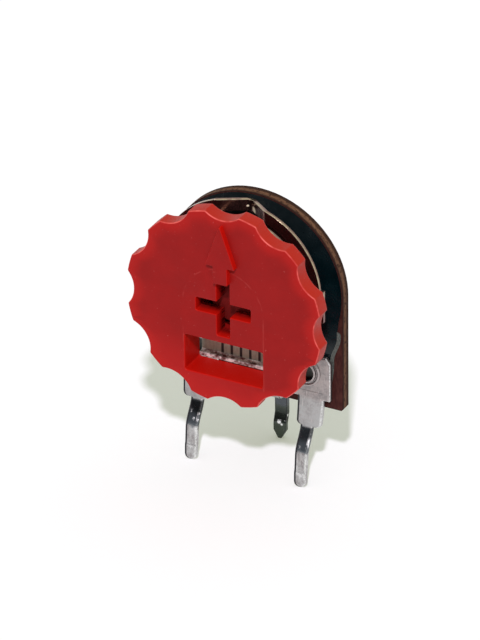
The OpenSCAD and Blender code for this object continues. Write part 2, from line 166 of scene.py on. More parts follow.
class TerminalSettings(bpy.types.PropertyGroup):
    """Sizes of the two outer terminals."""

    sheet: length("Sheet", "Thickness of the sheet", 0.45)
    edge: length("Edge", "Radius of the sheet's rounded edges", 0.13)
    pin_from_middle: length("Pin from middle", "Distance of each pin from the part's middle", 5.08)
    pin_width: length("Pin width", "Width of each pin", 1.12)
    plate_top: length("Plate top", "Distance of the plate's top below the knob's axis", 5.48)
    plate_low: length("Plate low", "Distance of the plate's lower edge below the knob's axis", 9.53)
    plate_corner: length("Plate corner", "Radius of the plate's corners", 0.15)
    corner_width: length("Corner width", "Width of the plate's cut top corner", 0.4)
    corner_height: length("Corner height", "Height of the plate's cut top corner", 0.55)
    hole: length("Hole", "Radius of the eyelet's hole in the plate", 1.02)
    neck_low: length("Neck low", "Distance of the neck's lower edge below the knob's axis", 12.03)
    neck_width: length("Neck width", "Width of the neck", 2.4)
    neck_reach: length("Neck reach", "Distance from the pin's middle to the neck's outer edge", 1.45)
    neck_taper: length("Neck taper", "Distance by which the neck narrows on its outer side", 0.15)
    neck_corner: length("Neck corner", "Radius of the neck's lower corners", 0.35)
    neck_lean: length("Neck lean", "Distance by which the neck leans forward", 0.35)
    pin_lean: length("Pin lean", "Distance by which the pin leans forward below its bend", 0.25)
    bend_low: length("Bend low", "Distance of the bend's lower end below the knob's axis", 14.13)
    tip_corner: length("Tip corner", "Radius of the corners at each pin's tip", 0.42)
    tip_step: length("Tip step", "Height of the small crease above each pin's tip", 0.05)
    tip_lift: length("Tip lift", "Height of a leaning tip's middle over its lowest edge", 0.016)


class EyeletSettings(bpy.types.PropertyGroup):
    """Sizes of the two eyelets."""

    bore: length("Bore", "Radius of each eyelet's bore", 0.8)
    barrel: length("Barrel", "Radius of each eyelet's barrel", 1.0)
    curl: length("Curl", "Height of each eyelet's rolled ends over the sheet", 0.25)
    lip: length("Lip", "Width of the rolled lip round the bore", 0.16)
    groove: length("Groove", "Distance from the bore to the inner side of the groove's floor", 0.22)
    groove_end: length("Groove end", "Distance from the bore to the outer side of the groove's floor", 0.3)
    flange_slope: length("Flange slope", "Width of the slope at the flange's rim", 0.14)


class MetalSettings(bpy.types.PropertyGroup):
    """Colours of all the metal, its painted highlights, glints and shade among them, and sizes of what is
    printed or painted on it.
    """

    tin: colour("Tin", "Colour of the tin plate", (0.42, 0.37, 0.36))
    bright: colour("Bright", "Colour of the brighter tin on necks and pins", (0.47, 0.475, 0.475))
    stain: colour("Stain", "Colour of the plate's darker blots", (0.27, 0.25, 0.25))
    # Painted reflection: the dark that the pins' bends mirror, painted into their colour
    flux: colour("Flux", "Colour of the dark bends above the pins' tips", (0.085, 0.1, 0.11))
    # Painted highlight along the sheet's edges
    rubbed: colour("Rubbed", "Colour of the sheet's rubbed edges", (0.8, 0.82, 0.8))
    # Painted glints on the tin beads down the pins
    drop: colour("Drop", "Colour of the bright drops on the pins' bends", (0.9, 0.9, 0.9))
    # Painted shade along the sheet's sharp edges and cut sides
    outline: colour("Outline", "Colour along the sheet's cut edges", (0.03, 0.03, 0.035))
    # Painted shade: the middle pin's tin, darkened for the body's shadow and the dark underside it mirrors
    strap: colour("Strap", "Colour of the middle pin's darker tin", (0.062, 0.078, 0.064))
    bronze: colour("Bronze", "Colour of the wiper sheet", (0.16, 0.075, 0.07))
    # Partly the cut edges' own bright metal, partly a painted highlight on their front
    gold: colour("Gold", "Colour of the wiper sheet's cut edges", (0.42, 0.35, 0.22))
    # Painted glints on the contact's fold
    glint: colour("Glint", "Colour of the rubbed spots on the contact", (1.0, 0.86, 0.62))
    tab: colour("Tab", "Colour of the wiper's tab behind the window", (0.46, 0.46, 0.36))
    # Painted reflection: the lip's bright patches, broken by darker ones
    lip: colour("Lip", "Colour of the tab's bright lip", (0.95, 0.94, 0.9))
    ink: colour("Ink", "Colour of the marks on the tab", (0.01, 0.009, 0.008))
    rivet: colour("Rivet", "Colour of the pivot rivet", (0.035, 0.014, 0.011))
    # Painted light: the red that the knob round the rivet's head throws on it
    head: colour("Head", "Colour of the rivet's head, behind the cross slot", (0.17, 0.01, 0.009))
    mark_pitch: length("Mark pitch", "Distance between the marks on the tab", 0.85)
    mark_width: length("Mark width", "Width of each mark", 0.24)
    lip_height: length("Lip height", "Height of the tab's bright lip", 0.42)
    wiper_front: length("Wiper front", "Height of the wiper sheet's front above the board", 2.55)
    contact_half: length("Contact half width", "Half the width of the contact's V", 2.3)
    contact_slope: number("Contact slope", "Rise of the V's flanks over their run", 0.943)


class BoardSettings(bpy.types.PropertyGroup):
    """Colours of the board and its print."""

    face: colour("Face", "Colour of the laminate's face", (0.036, 0.009, 0.008))
    fibre: colour("Fibre", "Colour of the face's lighter fibres", (0.066, 0.021, 0.016))
    cut: colour("Cut", "Colour of the cut edge", (0.036, 0.017, 0.011))
    layer: colour("Layer", "Colour of the cut edge's lighter layers", (0.19, 0.095, 0.052))
    # Painted shade along the board's sharp edges
    arris: colour("Arris", "Colour of the board's dark outlines", (0.008, 0.004, 0.004))
    carbon: colour("Carbon", "Colour of the carbon print", (0.0009, 0.0055, 0.007))
    silver: colour("Silver", "Colour of the silver print", (0.13, 0.145, 0.125))


class PadSettings(bpy.types.PropertyGroup):
    """Sizes of the silver prints beside the track's legs."""

    leg: length("Leg", "Distance of the carbon leg's outer edge from the middle", 7.5)
    line: length("Line", "Width of the silver line beside the leg", 0.33)
    top: length("Top", "Distance of the line's upper end below the knob's axis", 3.0)
    blunt: length("Blunt", "Length over which the line's upper end is rounded", 0.25)
    bend: length("Bend", "Distance below the axis where the leg starts to turn in", 3.6)
    end: length("End", "Distance below the axis where the carbon ends", 5.78)
    end_from_middle: length("End from middle", "Distance of the carbon's end from the middle", 6.9)
    low: length("Low", "Distance of the pad's lower edge below the axis", 9.33)
    inner: length("Inner", "Distance of the pad's inner edge from the middle", 3.4)


class StageSettings(bpy.types.PropertyGroup):
    """Camera, light and floor."""

    azimuth: turn("Azimuth", "Turn of the camera about the part", 27.767)
    elevation: turn("Elevation", "Height of the camera", 29.462)
    roll: turn("Roll", "Tilt of the camera about its view", -0.66)
    distance: length("Distance", "Distance from the camera to the knob's face", 484.8)
    right: length("Right", "Knob's middle to the right of the view's middle", -1.385)
    up: length("Up", "Knob's middle above the view's middle", 0.802)
    lens: number("Lens", "Focal length", 337.5, unit="CAMERA")
    sky: number("Sky", "Strength of the even light", 0.52)
    sky_tint: colour("Sky tint", "Colour of the even light", (0.97, 1.0, 0.92))
    sun: number("Sun", "Strength of the lamp on the floor", 0.55)
    sun_tint: colour("Sun tint", "Colour of the lamp", (0.96, 0.92, 1.0))
    sun_spread: turn("Sun spread", "Width of the lamp as seen from the part", 3)
    sun_from: bpy.props.FloatVectorProperty(
        name="Sun from",
        description="Direction in which the lamp stands",
        default=(0.29, -0.62, 0.72),
        subtype="DIRECTION",
    )
    floor: colour("Floor", "Colour of the floor", (0.8, 0.77, 0.86))
    flag: colour("Flag", "Colour of the dark panel that the metal mirrors", (0.02, 0.02, 0.025))


class Sizes:
    """The values of a settings group, with its lengths in millimetres."""

    def __init__(self, settings):
        for name in type(settings).__annotations__:
            value = getattr(settings, name)
            is_length = settings.bl_rna.properties[name].unit == "LENGTH"
            setattr(self, name, value / MM if is_length else value)


# ---- Shapes ----

# A shape is worked out in the flat frame, in millimetres: x runs right from the knob's axis, y up from it,
# and z forward from the board's front face.

OUTLINE_STEPS = 1440
RING_STEPS = 96
EDGE_STEPS = 7
FLUTE_BLEND = 0.06
CROSS_BLEND = 0.08
TINY = 1e-9

# Faces that meet at less than this angle are shaded as one, and points closer than this are merged
SMOOTH_ANGLE = math.radians(40)
SAME_POINT = 0.0005 * MM


def world(x, y, z):
    """World points of points in the flat frame: a shift by the axis and the board, and a scale."""
    return np.stack(np.broadcast_arrays(AXIS.x + x * MM, BOARD_FRONT - z * MM, AXIS.z + y * MM), -1)


def at(points, z):
    """World points of flat points at one height."""
    return world(points[..., 0], points[..., 1], z)


def grid(points, closed_u=False, closed_v=False):
    """Points and quads of a surface of two parameters.

    points[i, j] is the point at step i of the first parameter and step j of the second. A closed
    parameter joins its last step to its first.
    """
    nu, nv = points.shape[:2]
    index = np.arange(nu * nv).reshape(nu, nv)
    if closed_u:
        index = np.concatenate([index, index[:1]])
    if closed_v:
        index = np.concatenate([index, index[:, :1]], 1)
    quads = np.stack([index[:-1, :-1], index[1:, :-1], index[1:, 1:], index[:-1, 1:]], -1)
    return points.reshape(-1, 3), quads.reshape(-1, 4)


def build(name, material, surfaces, tones=None):
    """One mesh object from several surfaces, with shared borders merged and faces turned outwards.

    tones holds a value for each point of each surface, which the finish reads as the attribute edge: 0 on
    a plain face, above 0 towards outer edges and cut sides, and below 0 on inner walls and on edges that
    get a painted highlight. The finishes paint glow, highlights and shade by it.
    """
    starts = np.cumsum([0] + [len(points) for points, _ in surfaces])
    points = np.concatenate([points for points, _ in surfaces])
    quads = np.concatenate([quads + start for (_, quads), start in zip(surfaces, starts)])
    tone = np.concatenate([np.ravel(tone) for tone in tones]) if tones else np.zeros(len(points))
    mesh = bpy.data.meshes.new(name)
    mesh.from_pydata(points, [], quads.tolist())
    mesh.attributes.new("edge", "FLOAT", "POINT").data.foreach_set("value", tone.astype(np.float32))
    shape = bmesh.new()
    shape.from_mesh(mesh)
    bmesh.ops.remove_doubles(shape, verts=shape.verts, dist=SAME_POINT)
    bmesh.ops.dissolve_degenerate(shape, edges=shape.edges, dist=SAME_POINT)
    bmesh.ops.recalc_face_normals(shape, faces=shape.faces)
    shape.to_mesh(mesh)
    shape.free()
    mesh.shade_smooth()
    mesh.set_sharp_from_angle(angle=SMOOTH_ANGLE)
    mesh.materials.append(material)
    part = bpy.data.objects.new(name, mesh)
    bpy.context.collection.objects.link(part)
    part.modifiers.new("flat faces", "WEIGHTED_NORMAL").keep_sharp = True
    return part


def spread(tone, row):
    """The tone of each row, for every point of a row."""
    return np.repeat(np.asarray(tone)[:, None], len(row), 1)


def quarter():
    """Steps of a quarter circle from a face to its wall: distance in from the wall, and below the face."""
    turn = np.linspace(0, math.pi / 2, EDGE_STEPS)
    return 1 - np.sin(turn), 1 - np.cos(turn)


def walled(drop):
    """How much each step of a rounded edge belongs to the wall: 0 at the face, and 1 from a third down."""
    return np.clip(3 * drop, 0, 1)


def rounded(outline, z, edge, rise=-1):
    """Rows of a rounded edge, from the face at height z to its wall: a quarter circle of radius edge.

    outline(margin) gives the outline moved by margin from the wall. rise is -1 for a wall that runs down
    from its face, and 1 for one that runs up.
    """
    return [at(outline(edge * across), z + rise * edge * down) for across, down in zip(*quarter())]


def below(y, start, end):
    """How far y has come down from start to end, as the smooth step 3t^2 - 2t^3 from 0 to 1."""
    t = np.clip((start - y) / (start - end), 0, 1)
    return t * t * (3 - 2 * t)


def soft_min(a, b, blend):
    """Smaller of a and b, with the corner between them rounded over the length blend."""
    mix = np.clip(0.5 + 0.5 * (b - a) / blend, 0, 1)
    return b + (a - b) * mix - blend * mix * (1 - mix)


def loop(radius, angle, centre=(0, 0)):
    """Flat points at a radius and an angle from a centre."""
    return np.stack([centre[0] + radius * np.cos(angle), centre[1] + radius * np.sin(angle)], -1)


def turned(profile, centre):
    """Closed outline of radius r and height z, turned about a centre: x = cx + r cos a, y = cy + r sin a."""
    angle = np.arange(RING_STEPS) * 2 * math.pi / RING_STEPS
    r, z = profile[:, :1], profile[:, 1:]
    return grid(at(loop(r, angle, centre), z), closed_u=True, closed_v=True)


def fluted(angle, knob):
    """Radius of the knob's outline: the lands' circle, or a flute's circle where that cuts into it.

    With the flute's middle at distance m and its radius r, the ray at an angle a from it meets the
    flute's near side at m cos a - sqrt(r^2 - m^2 sin^2 a).
    """
    middle = knob.radius - knob.flute_depth + knob.flute_radius
    pitch = 2 * math.pi / knob.flutes
    off = (angle + pitch / 2) % pitch - pitch / 2
    under = knob.flute_radius**2 - (middle * np.sin(off)) ** 2
    near = middle * np.cos(off) - np.sqrt(np.maximum(under, 0))
    return soft_min(knob.radius, np.where(under > 0, near, knob.radius + 1), FLUTE_BLEND)


def rounded_box(angle, half_w, half_h, corner):
    """Radius of a rectangle with round corners, seen from its middle.

    The ray at an angle a meets a side at the smaller of w / cos a and h / sin a, and near a corner it
    meets the far side of the corner's circle.
    """
    c, s = np.abs(np.cos(angle)), np.abs(np.sin(angle))
    side = np.minimum(half_w / np.maximum(c, TINY), half_h / np.maximum(s, TINY))
    cx, cy = half_w - corner, half_h - corner
    along = cx * c + cy * s
    across = cx * s - cy * c
    bend = along + np.sqrt(np.maximum(corner**2 - across**2, 0))
    in_corner = (side * c > cx) & (side * s > cy)
    return np.where(in_corner, bend, side)


def cross(angle, knob, margin):
    """Radius of the cross slot's outline, widened by margin: the larger of two bars with round corners."""
    half, reach, corner = knob.slot_width / 2 + margin, knob.slot_reach + margin, knob.slot_corner + margin
    flat = rounded_box(angle, reach, half, corner)
    tall = rounded_box(angle, half, reach, corner)
    return -soft_min(-flat, -tall, CROSS_BLEND)


def ruled(inner, outer, z, border):
    """Flat surface between two loops, whose points straight lines join one to one.

    A third loop cuts the lines at the width border inside the outer one, or at a tenth of their length
    where they are shorter than that.
    """
    reach = np.linalg.norm(outer - inner, axis=1)
    near = np.clip(1 - border / reach, 0.1, 1)
    t = np.stack([np.zeros_like(near), near, np.ones_like(near)])[..., None]
    return grid(at(inner * (1 - t) + outer * t, z), closed_v=True)


def knob_shapes(knob):
    """Surfaces of the knob's body and their tones.

    A chord cuts the face into the part round the cross slot and the part round the window. Each is ruled
    from its opening's outline to its border, so that neighbours share their points. The tone rises from 0
    on the face to 0.3 beside the rim, for its painted glow, is 0.5 to 0.6 on the painted highlight line,
    1 on the rim and -1 on inner walls.
    """
    front = KNOB_HIGH[2] - knob.arrow_height
    back = front - knob.thickness
    frame_back = back - knob.frame_height
    chord = -knob.split
    half_w, half_h = knob.window_width / 2, knob.window_height / 2
    middle = (0, -(knob.window_drop + half_h))
    angle = np.arange(OUTLINE_STEPS) * 2 * math.pi / OUTLINE_STEPS
    outline = fluted(angle, knob)

    def rim(margin):
        return loop(outline - margin, angle)

    def slot(margin):
        return loop(cross(angle, knob, margin), angle)

    def window(margin):
        box = rounded_box(sight, half_w + margin, half_h + margin, knob.window_corner + margin)
        return loop(box, sight, middle)

    drop = quarter()[1]
    edge_tone = np.interp(drop, [0, 0.1, 0.5, 1], [0.3, 0.5, 0.6, 1])
    rows = rounded(rim, front, knob.edge) + rounded(rim, back, knob.edge, 1)[::-1]
    surfaces = [grid(np.array(rows), closed_v=True)]
    tones = [spread([*edge_tone, *edge_tone[::-1]], angle)]

    border = rim(knob.edge)
    low = border[:, 1] < chord
    first, last = np.flatnonzero(low)[[0, -1]]
    cut = np.stack([chord / np.tan(angle[low]), np.full(low.sum(), chord)], -1)
    upper = border.copy()
    upper[low] = cut
    around = np.concatenate([border[first - 1 : last + 2], cut[::-1]])
    sight = np.arctan2(around[:, 1] - middle[1], around[:, 0] - middle[0])
    upper_tone, around_tone = np.zeros((3, len(upper))), np.zeros((3, len(around)))
    upper_tone[2, ~low] = edge_tone[0]
    around_tone[2, : -len(cut)] = edge_tone[0]
    sides = ((front, knob.slot_edge, knob.window_edge), (back, 0, knob.frame_wall))
    for z, slot_margin, window_margin in sides:
        surfaces.append(ruled(slot(slot_margin), upper, z, knob.glow_width))
        surfaces.append(ruled(window(window_margin), around, z, knob.glow_width))
        tones += [upper_tone, around_tone]

    # Each wall's rows after its rounded edge, as margin, height and tone
    slot_rows = [(0, front - 2 * knob.slot_edge, 1), (0, back, 1)]
    window_rows = [(0, front - 2 * knob.window_edge, 1), (0, frame_back, 1)]
    window_rows += [(knob.frame_wall, frame_back, 0.5), (knob.frame_wall, back, 0)]
    walls = ((slot, knob.slot_edge, slot_rows), (window, knob.window_edge, window_rows))
    for opening, edge, further in walls:
        rows = rounded(opening, front, edge) + [at(opening(margin), z) for margin, z, _ in further]
        surfaces.append(grid(np.array(rows), closed_v=True))
        tones.append(-spread([*walled(drop), *(tone for _, _, tone in further)], rows[0]))

    overlap = 0.1
    inner, foot, top = knob.boss_bore, KNOB_LOW[2] + knob.peg_head, back + overlap
    to_window = (knob.window_drop + knob.frame_wall / 2) / np.maximum(-np.sin(angle), TINY)
    outer = np.minimum(knob.boss_radius, to_window)
    ring = [(inner, foot), (outer, foot), (outer, top), (inner, top)]
    boss = np.array([at(loop(r, angle), z) for r, z in ring])
    surfaces.append(grid(boss, closed_u=True, closed_v=True))
    tones.append(np.zeros(boss.shape[:2]))
    return surfaces, tones


def corners(points, radii, steps=6, run=6):
    """Closed outline of a polygon whose corners are arcs, and its outward normals.

    Each arc starts where its circle touches the side before the corner and turns to the side after it,
    and run points follow along that side.
    """
    points, radii = np.asarray(points, float), np.asarray(radii, float)[:, None]
    before = points - np.roll(points, 1, 0)
    after = np.roll(points, -1, 0) - points
    before /= np.linalg.norm(before, axis=1, keepdims=True)
    after /= np.linalg.norm(after, axis=1, keepdims=True)
    rise = before[:, 0] * after[:, 1] - before[:, 1] * after[:, 0]
    turn = np.arctan2(rise, (before * after).sum(1))[:, None]
    side = np.sign(turn)
    left = np.stack([-before[:, 1], before[:, 0]], -1)
    start = points - before * radii * np.tan(np.abs(turn) / 2)
    centre = start + left * radii * side
    heading = np.arctan2(before[:, 1], before[:, 0])[:, None] + turn * np.linspace(0, 1, steps)
    normal = np.stack([np.sin(heading), -np.cos(heading)], -1)
    arc = centre[:, None] + normal * (radii * side)[:, None]
    ahead = np.roll(arc[:, 0], -1, 0)
    t = (np.arange(run) + 1)[:, None] / (run + 1)
    straight = arc[:, -1:] * (1 - t) + ahead[:, None] * t
    flat = np.repeat(normal[:, -1:], run, 1)
    return np.concatenate([arc, straight], 1).reshape(-1, 2), np.concatenate([normal, flat], 1).reshape(-1, 2)


def arrow_shapes(knob):
    """Raised arrow and its tones, which are -1 on its sides and 0 on its top.

    The side rises from inside the knob's face along the outline, leans in, rounds over, and closes in
    straight lines on the arrow's middle.
    """
    foot_sunk = 0.05
    slot_gap = 0.02
    lean = 0.03
    outer_bend = knob.arrow_edge + lean + 0.01
    inner_bend = 0.05
    middle = np.array([0, knob.arrow_base + 0.5])
    front = KNOB_HIGH[2]
    foot = front - knob.arrow_height - foot_sunk
    start, base = knob.slot_reach + slot_gap, knob.arrow_base
    half, shaft = knob.arrow_half, knob.shaft_half
    points = [(-shaft, start), (shaft, start), (shaft, base)]
    points += [(half, base), (0, knob.arrow_tip), (-half, base), (-shaft, base)]
    bends = [outer_bend, outer_bend, inner_bend, outer_bend, outer_bend, outer_bend, inner_bend]
    outline, normal = corners(points, bends)

    def top(margin):
        return outline - normal * (lean + margin)

    inside = top(knob.arrow_edge)
    rows = [at(outline, foot), *rounded(top, front, knob.arrow_edge)[::-1]]
    rows += [at(inside * (1 - t) + middle * t, front) for t in (0.5, 1.0)]
    tone = -spread([1, *walled(quarter()[1][::-1]), 0, 0], outline)
    return [grid(np.array(rows), closed_v=True)], [tone]


def rounded_bar(half_w, half_t, edge, border, steps=5):
    """Sections of a bar, one for each half width: offsets across and through it, and tones.

    A section is a rectangle whose corners are quarter ellipses of the radius edge, or of the half width
    where that is less. Over each corner its tone rises from the side towards 1 at the face, for painted
    shade, or to -0.5 at the front right, for a painted highlight, and falls to 0 on the face over the width
    border.
    """
    across_edge = np.minimum(edge, half_w)[:, None]
    turn = np.append(np.linspace(0, math.pi / 2, steps), math.pi / 2)
    shift = np.append(np.zeros(steps), border) * np.minimum(1, (half_w[:, None] - across_edge) / border)
    rise = np.append(np.clip(np.linspace(0.1, 1.9, steps), 0, 1), 0)
    size = (len(half_w), steps + 1)
    across, through, tone = [], [], []
    for side, face, order, peak in ((1, 1, 1, -0.5), (-1, 1, -1, 1), (-1, -1, 1, 1), (1, -1, -1, 1)):
        t = turn[::order]
        across.append(side * (half_w[:, None] - across_edge * (1 - np.cos(t)) - shift[:, ::order]))
        through.append(np.broadcast_to(face * (half_t - edge * (1 - np.sin(t))), size))
        tone.append(np.broadcast_to(peak * rise[::order], size))
    return np.concatenate(across, 1), np.concatenate(through, 1), np.concatenate(tone, 1)


def pin_shapes(terminal, side, foot_y, plate_z, tip_z):
    """Neck and pin of an outer terminal: a rounded bar carried down a middle line z(y), and its tones.

    The line leans forward down the neck, steps forward and leans again down the pin, with a small crease
    above the tip. The width w(y) drops from the neck to the pin, and the tip has rounded corners.
    """
    neck_steps, corner_steps, pin_steps = 24, 14, 90
    low_y, neck_y, bend_y = -terminal.plate_low, -terminal.neck_low, -terminal.bend_low
    top_y = low_y + 0.65
    lean_y = low_y + 0.6
    lean_power = 1.3
    step_from, step_to = neck_y + 0.15, bend_y - 0.25
    crease_from, crease_to, crease_end = foot_y + 1.45, foot_y + 1.15, foot_y + 1.1
    tone_from, tone_to, tone_width = low_y + 0.3, low_y - 0.2, 0.12
    corner, tip = terminal.neck_corner, terminal.tip_corner
    turn = np.linspace(0, math.pi / 2, corner_steps)
    down, inset = 1 - np.sin(turn), 1 - np.cos(turn[1:])
    y_neck = np.linspace(top_y, neck_y + corner, neck_steps)
    y_pin = np.linspace(neck_y, foot_y + tip, pin_steps)
    y = np.concatenate([[top_y], y_neck, (neck_y + corner * down)[1:], y_pin, (foot_y + tip * down)[1:]])

    pin_x, half_pin = terminal.pin_from_middle, terminal.pin_width / 2
    outer = pin_x + terminal.neck_reach
    inner = outer - terminal.neck_width
    taper = terminal.neck_taper * (y_neck - top_y) / (neck_y - top_y)
    narrow = np.concatenate([np.full(len(y_pin), half_pin), half_pin - tip * inset])
    left = np.concatenate([np.full(len(y_neck) + 1, inner), inner + corner * inset, pin_x - narrow])
    spare = terminal.neck_taper + corner * inset
    right = np.concatenate([[outer], outer - taper, outer - spare, pin_x + narrow])

    forward = tip_z - plate_z - terminal.neck_lean - terminal.pin_lean
    crease = below(y, crease_from, crease_to) - below(y, crease_end, foot_y)
    z = plate_z + terminal.neck_lean * np.clip((lean_y - y) / (lean_y - neck_y), 0, 1) ** lean_power
    z = z + forward * below(y, step_from, step_to)
    z = z + terminal.pin_lean * np.clip((bend_y - y) / (bend_y - foot_y), 0, 1) + terminal.tip_step * crease

    # The line's slope, evened out over seven steps. The small shift keeps any two steps apart.
    slope = np.gradient(z[1:-1], y[1:-1] - 1e-6 * np.arange(len(y) - 2))
    slope = np.convolve(np.pad(slope, 3, mode="edge"), np.ones(7) / 7, mode="valid")
    slope = np.concatenate([slope[:1], slope, slope[-1:]])[:, None]

    across, through, tone = rounded_bar((right - left) / 2, terminal.sheet / 2, terminal.edge, tone_width)
    through = through * np.concatenate([[0], np.ones(len(y) - 2), [0]])[:, None] / np.sqrt(1 + slope**2)
    x = side * (left + right)[:, None] / 2 + across
    tone = tone * below(y, tone_from, tone_to)[:, None]
    return grid(world(x, y[:, None] - through * slope, z[:, None] + through), closed_v=True), tone


def plate_shapes(terminal, side, node):
    """Plate of an outer terminal, and its tones.

    Its outline's side rises between two rounded edges, and straight lines join them to the eyelet's hole.
    The tone is 0.35 on the side, for painted shade, below 0 along the front edge, for a painted highlight,
    and 0 on the faces.
    """
    low, high = span(node)
    eye_low, eye_high = span(node.replace("terminal", "eyelet"))
    eye = ((eye_low[0] + eye_high[0]) / 2, (eye_low[1] + eye_high[1]) / 2)
    back, front = BOARD_PRINT, BOARD_PRINT + terminal.sheet
    inner, outer = sorted((low[0], high[0]), key=abs)
    top, bottom = -terminal.plate_top, -terminal.plate_low
    chamfer = [(outer, top - terminal.corner_height), (outer - side * terminal.corner_width, top)]
    points = [(inner, bottom), (outer, bottom), *chamfer, (inner, top)]
    outline, normal = corners(points[::side], [terminal.plate_corner] * 5, steps=8, run=14)
    hole = loop(terminal.hole, np.arctan2(outline[:, 1] - eye[1], outline[:, 0] - eye[0]), eye)

    def inside(margin):
        return outline - normal * margin

    rows = rounded(inside, back, terminal.edge, 1) + rounded(inside, front, terminal.edge)[::-1]
    rows += [at(hole, front), at(hole, back)]
    drop = quarter()[1]
    rubbed = np.interp(drop[::-1], [0, 0.1, 0.5, 1], [0, -0.7, -0.4, 0.35])
    tone = spread([*(walled(drop) * 0.35), *rubbed, 0, 0], outline)
    return grid(np.array(rows), closed_u=True, closed_v=True), tone


def terminal_shapes(terminal, node):
    """Outer terminal: its plate, and the neck and pin that start inside the plate, with their tones."""
    low, high = span(node)
    side = 1 if high[0] > 0 else -1
    half = terminal.sheet / 2
    pin = pin_shapes(terminal, side, low[1] + terminal.tip_lift, BOARD_PRINT + half, high[2] - half)
    return zip(plate_shapes(terminal, side, node), pin)


def pad_shapes(pad, node):
    """Silver print: a layer between two curves.

    The outer one, x(y), runs down beside the carbon's leg, turns in smoothly with it, keeps the line's
    full width for a while past its end and then narrows to the pad's lower corner. The inner one follows
    the carbon's edge, and below its end the pad's inner side. The layer stands proud of the solid.
    """
    leg_steps, pad_steps = 60, 30
    full_width = 0.3
    proud = 0.004
    low, high = span(node)
    side = 1 if high[0] > 0 else -1
    top_y, end_y, low_y = -pad.top, -pad.end, -pad.low
    y = np.concatenate([np.linspace(top_y, end_y, leg_steps), np.linspace(end_y, low_y, pad_steps)])
    carbon = pad.leg + (pad.end_from_middle - pad.leg) * below(y, -pad.bend, end_y)
    blunt = np.clip(1 - (top_y - y) / pad.blunt, 0, 1)
    outer = carbon + pad.line * np.sqrt(1 - blunt**2) * (1 - below(y, end_y - full_width, low_y))
    inner = np.where(np.arange(len(y)) < leg_steps, carbon, pad.inner)
    bottom, top = low[2], high[2] + proud
    rows = [(inner, bottom), (inner, top), (outer, top), (outer, bottom)]
    points = np.stack([world(side * x, y, z) for x, z in rows], 1)
    points = np.concatenate([points[:1, [0, 1, 1, 0]], points, points[-1:, [0, 1, 1, 0]]])
    return [grid(points, closed_v=True)]


def eyelet_shapes(eyelet, node):
    """Rolled eyelet and its tones, which are 0.6 in the grooves and 1 in the bore.

    A tube's ends curl outwards over a groove into flat flanges: a rounded outline turned about an axis.
    """
    low, high = span(node)
    centre = ((low[0] + high[0]) / 2, (low[1] + high[1]) / 2)
    bore, barrel, curl = eyelet.bore, eyelet.barrel, eyelet.curl
    flange = (high[0] - low[0]) / 2
    front, back = high[2] - curl, low[2] + curl
    # One end from the bore outwards: radius, height as a share of the curl's, and radius of the corner
    end = [
        (bore, 1.0, 0.09),
        (bore + eyelet.lip, 1.0, 0.06),
        (bore + eyelet.groove, 0.2, 0.03),
        (bore + eyelet.groove_end, 0.2, 0.03),
        (flange - eyelet.flange_slope, 0.65, 0.1),
        (flange, 0.3, 0.06),
        (flange, 0, 0.01),
        (barrel, 0, 0.01),
    ]
    points = [(r, front + curl * h) for r, h, _ in end[::-1]] + [(r, back - curl * h) for r, h, _ in end]
    radii = [c for _, _, c in end[::-1] + end]
    steps, run = 6, 2
    outline, _ = corners(points, radii, steps, run)
    # Tones of each corner's arc and of the side after it. The front's corners come first, bore last.
    tone = np.zeros((len(points), steps + run))
    last = len(end) - 1
    tone[last - 4, steps:] = tone[last - 3] = tone[last + 4, steps:] = 0.6
    tone[last, steps - 1 :] = tone[last + 1, :2] = 1
    return [turned(outline, centre)], [spread(tone.ravel(), range(RING_STEPS))]


# ---- Finishes ----

# Painted glints: distance right of the knob's axis, distance above it, and radius, in millimetres
CONTACT_GLINTS = ((-0.22, 7.13, 0.13), (0.45, 7.0, 0.38))
PIN_GLINTS = ((-0.05, -15.63, 0.24), (0.2, -15.84, 0.14))
BEVEL_SAMPLES = 8


def shade(colour, factor):
    """A colour made darker or lighter by a factor."""
    return [c * factor for c in colour]


class Nodes:
    """A node tree under construction, with short ways to add nodes."""

    def __init__(self, tree):
        self.tree = tree

    def node(self, kind, **attributes):
        """A new node of a kind, with its attributes set."""
        node = self.tree.nodes.new(kind)
        for name, value in attributes.items():
            setattr(node, name, value)
        return node

    def feed(self, node, **inputs):
        """Sets or links a node's inputs, named with underscores for spaces or by their number after i."""
        for name, value in inputs.items():
            key = int(name[1:]) if name[0] == "i" and name[1:].isdigit() else name.replace("_", " ")
            if isinstance(value, bpy.types.NodeSocket):
                self.tree.links.new(value, node.inputs[key])
            else:
                node.inputs[key].default_value = value
        return node

    def math(self, operation, a, b=0.0, clamp=False):
        """One step of arithmetic."""
        node = self.node("ShaderNodeMath", operation=operation, use_clamp=clamp)
        return self.feed(node, i0=a, i1=b).outputs[0]

    def chain(self, operation, first, *others):
        """The same step of arithmetic over several values."""
        for other in others:
            first = self.math(operation, first, other)
        return first

    def both(self, *factors):
        """Product of factors."""
        return self.chain("MULTIPLY", *factors)

    def sum(self, *terms):
        """Sum of terms."""
        return self.chain("ADD", *terms)

    def most(self, *factors):
        """Largest of factors."""
        return self.chain("MAXIMUM", *factors)

    def rest(self, factor):
        """What a factor leaves of 1."""
        return self.math("SUBTRACT", 1.0, factor)

    def ramp(self, value, low, high, start=0.0, end=1.0):
        """Value carried smoothly from the range low to high into the range start to end."""
        node = self.node("ShaderNodeMapRange", interpolation_type="SMOOTHSTEP")
        self.feed(node, Value=value, From_Min=low, From_Max=high, To_Min=start, To_Max=end)
        return node.outputs["Result"]

    def mix(self, factor, a, b):
        """Colour between a and b."""
        node = self.node("ShaderNodeMix", data_type="RGBA")
        first, second = [socket for socket in node.inputs if socket.type == "RGBA"]
        for socket, value in ((node.inputs[0], factor), (first, a), (second, b)):
            if isinstance(value, bpy.types.NodeSocket):
                self.tree.links.new(value, socket)
            else:
                socket.default_value = value if socket == node.inputs[0] else (*value[:3], 1)
        return [socket for socket in node.outputs if socket.type == "RGBA"][0]


